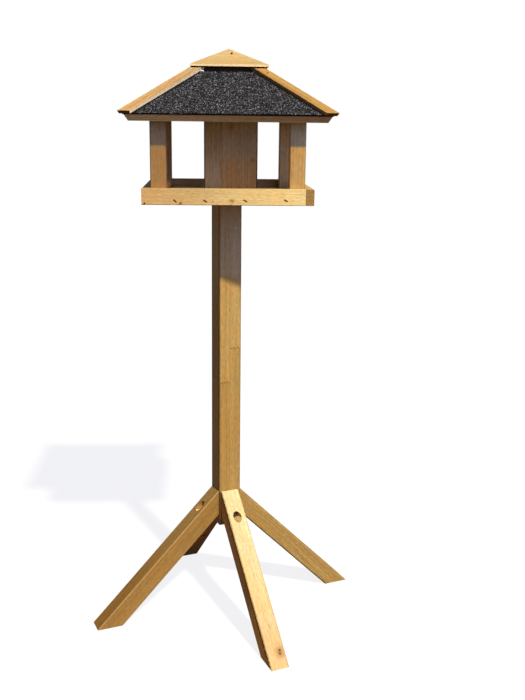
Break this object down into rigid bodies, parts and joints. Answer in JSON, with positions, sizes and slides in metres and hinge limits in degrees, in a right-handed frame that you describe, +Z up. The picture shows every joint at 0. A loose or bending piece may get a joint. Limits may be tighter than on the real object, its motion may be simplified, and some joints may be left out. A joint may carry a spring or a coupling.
{
  "type": "bird table",
  "caption": "Wooden bird table: walled square tray under a felted hip roof with a lift-off cap over a seed silo, on a post with splayed legs.",
  "frame": {"origin": "on the ground under the post's axis, which is the middle of the four feet", "axes": "+Z up, +Y towards the back of the house, +X to the right of its front"},
  "size_m": [0.6486, 0.6486, 1.3503],
  "materials": {
    "post_timber": "planed and honey stained pine, straight grain",
    "leg_timber": "planed pale pine with a few knots",
    "house_timber": "planed pale golden pine, fine grain",
    "floor_timber": "planed pine board",
    "silo_timber": "planed pine, upright grain, a little weathered",
    "roof_timber": "sawn pine, cut edges showing at the eaves",
    "roofing_felt": "bitumen felt with charcoal mineral granules",
    "zinc_steel": "dull zinc plate"
  },
  "bodies": {
    "stand": {"post": "post_timber", "leg_front": "leg_timber", "leg_right": "leg_timber", "leg_rear": "leg_timber", "leg_left": "leg_timber", "leg_screw_front": "zinc_steel", "leg_screw_right": "zinc_steel", "leg_screw_rear": "zinc_steel", "leg_screw_left": "zinc_steel", "leg_washer_front": "zinc_steel", "leg_washer_right": "zinc_steel", "leg_washer_rear": "zinc_steel", "leg_washer_left": "zinc_steel", "house_screw": "zinc_steel", "house_washer": "zinc_steel"},
    "house": {"tray_floor": "floor_timber", "tray_board_front": "house_timber", "tray_board_right": "house_timber", "tray_board_rear": "house_timber", "tray_board_left": "house_timber", "post_screw_front_right": "zinc_steel", "post_screw_rear_right": "zinc_steel", "post_screw_rear_left": "zinc_steel", "post_screw_front_left": "zinc_steel", "silo_board_front": "silo_timber", "silo_board_right": "silo_timber", "silo_board_rear": "silo_timber", "silo_board_left": "silo_timber", "silo_screw_1": "zinc_steel", "silo_screw_2": "zinc_steel", "silo_screw_3": "zinc_steel", "silo_screw_4": "zinc_steel", "corner_post_front_right": "house_timber", "corner_post_rear_right": "house_timber", "corner_post_rear_left": "house_timber", "corner_post_front_left": "house_timber", "roof_panel_front": "roof_timber", "roof_panel_right": "roof_timber", "roof_panel_rear": "roof_timber", "roof_panel_left": "roof_timber", "roof_felt_front": "roofing_felt", "roof_felt_right": "roofing_felt", "roof_felt_rear": "roofing_felt", "roof_felt_left": "roofing_felt", "hip_moulding_front_right": "house_timber", "hip_moulding_rear_right": "house_timber", "hip_moulding_rear_left": "house_timber", "hip_moulding_front_left": "house_timber"},
    "cap": {"roof_cap": "house_timber", "cap_plug": "house_timber"}
  },
  "joints": [
    {"name": "house_turn", "type": "hinge", "parent": "stand", "child": "house", "pos_m": [0, 0, 1.0205], "axis": [0, 0, 1], "continuous": true},
    {"name": "cap_lift", "type": "slide", "parent": "house", "child": "cap", "axis": [0, 0, 1], "range_m": [0, 0.15]}
  ]
}
